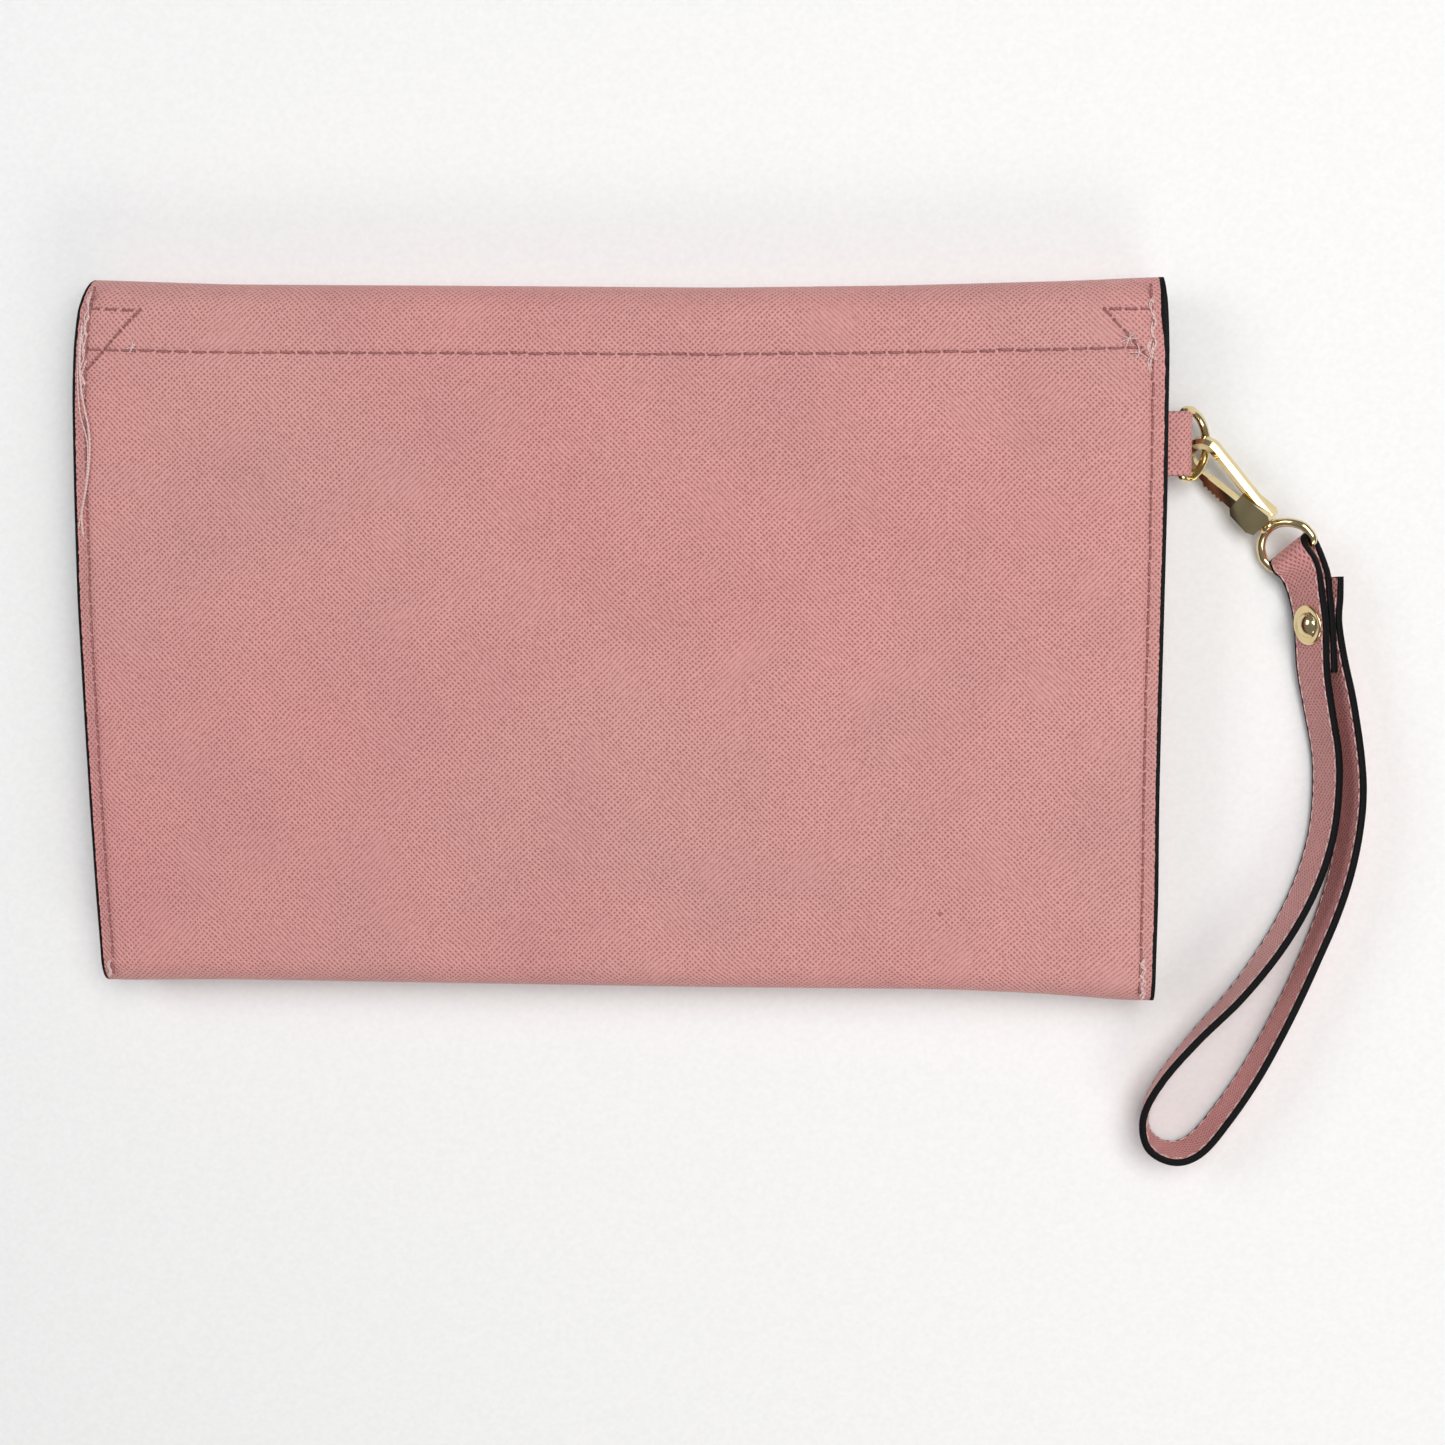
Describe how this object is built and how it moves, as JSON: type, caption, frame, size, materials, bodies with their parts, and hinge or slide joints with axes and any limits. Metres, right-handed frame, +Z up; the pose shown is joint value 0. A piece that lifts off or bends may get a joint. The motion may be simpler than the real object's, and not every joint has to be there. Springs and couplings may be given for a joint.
{
  "type": "wristlet wallet",
  "caption": "Flat envelope wallet with a folding flap, inner zip pocket and card pockets, and a clip-on leather wrist strap.",
  "frame": {"origin": "middle of the body's outline on the outer face of the closed flap, which is the face that it rests on", "axes": "+X along the width towards the ring, +Y towards the top fold, +Z up through the thickness towards the back panel"},
  "size_m": [0.2865, 0.1981, 0.0171],
  "materials": {
    "leather": "cross-hatched grain, semi-matt",
    "strap_leather": "cross-hatched grain with black painted edges",
    "edge_paint": "painted leather edge, satin",
    "lining": "fine twill",
    "board": "pressed board",
    "thread": "bonded thread",
    "gold_metal": "pale gold plating, polished",
    "steel": "satin"
  },
  "bodies": {
    "body": {"shell": "leather", "back_board": "board", "front_board": "board", "back_lining": "lining", "front_lining": "lining", "gusset_left": "leather", "gusset_right": "leather", "seam_thread": "thread", "ring_tab": "leather", "snap_cup": "gold_metal", "snap_washer_front": "steel", "card_panel": "lining", "card_strip_low": "leather", "card_strip_mid": "leather", "card_strip_top": "leather", "zip_bag": "lining", "zip_tapes": "lining", "zip_teeth": "gold_metal", "zip_stops": "gold_metal"},
    "slider": {"zip_slider": "gold_metal"},
    "pull": {"zip_pull": "gold_metal"},
    "fold": {"flap_spine": "leather", "spine_lining": "lining"},
    "flap": {"flap_leather": "leather", "flap_lining": "lining", "snap_plate": "gold_metal", "snap_stud": "gold_metal", "snap_washer_flap": "steel"},
    "ring": {"d_ring": "gold_metal"},
    "clasp": {"clasp_body": "gold_metal", "trigger_pin": "gold_metal", "trigger_spring": "steel"},
    "trigger": {"trigger": "gold_metal"},
    "eye": {"swivel_eye": "gold_metal"},
    "strap": {"strap_band": "strap_leather", "rivet_cap": "gold_metal", "rivet_post": "gold_metal", "rivet_back": "gold_metal"}
  },
  "joints": [
    {"name": "fold_hinge", "type": "hinge", "parent": "body", "child": "fold", "pos_m": [0, 0.0788, 0.01635], "axis": [1, 0, 0], "range_deg": [0, 90]},
    {"name": "flap_hinge", "type": "hinge", "parent": "fold", "child": "flap", "pos_m": [0, 0.0788, 0.0006], "axis": [1, 0, 0], "range_deg": [0, 90]},
    {"name": "zip_slide", "type": "slide", "parent": "body", "child": "slider", "axis": [-1, 0, 0], "range_m": [0, 0.152]},
    {"name": "zip_pull_swing", "type": "hinge", "parent": "slider", "child": "pull", "pos_m": [0.076, 0.048, 0.0122], "axis": [0, 0, 1], "range_deg": [-30, 30]},
    {"name": "ring_swing", "type": "hinge", "parent": "body", "child": "ring", "pos_m": [0.1246, 0.0434, 0.0095], "axis": [0, 1, 0], "range_deg": [-120, 40]},
    {"name": "clasp_swing", "type": "hinge", "parent": "ring", "child": "clasp", "pos_m": [0.1303, 0.04, 0.00388], "axis": [-0.3199, -0.8936, 0.3149], "range_deg": [-20, 20]},
    {"name": "trigger_press", "type": "hinge", "parent": "clasp", "child": "trigger", "pos_m": [0.1392, 0.02946, 0.00416], "axis": [0.4769, 0.3871, -0.7891], "range_deg": [0, 12], "stiffness_Nm_per_rad": 0.02, "springref_deg": -10},
    {"name": "swivel_spin", "type": "hinge", "parent": "clasp", "child": "eye", "pos_m": [0.13035, 0.04065, 0.0043], "axis": [0.6786, -0.7328, 0.0506], "continuous": true},
    {"name": "strap_swing", "type": "hinge", "parent": "eye", "child": "strap", "pos_m": [0.15047, 0.01892, 0.0058], "axis": [0.5587, 0.5596, 0.6121], "range_deg": [-10, 45]}
  ],
  "couplings": [
    {"joint": "flap_hinge", "follows": "fold_hinge", "ratio": 1}
  ]
}
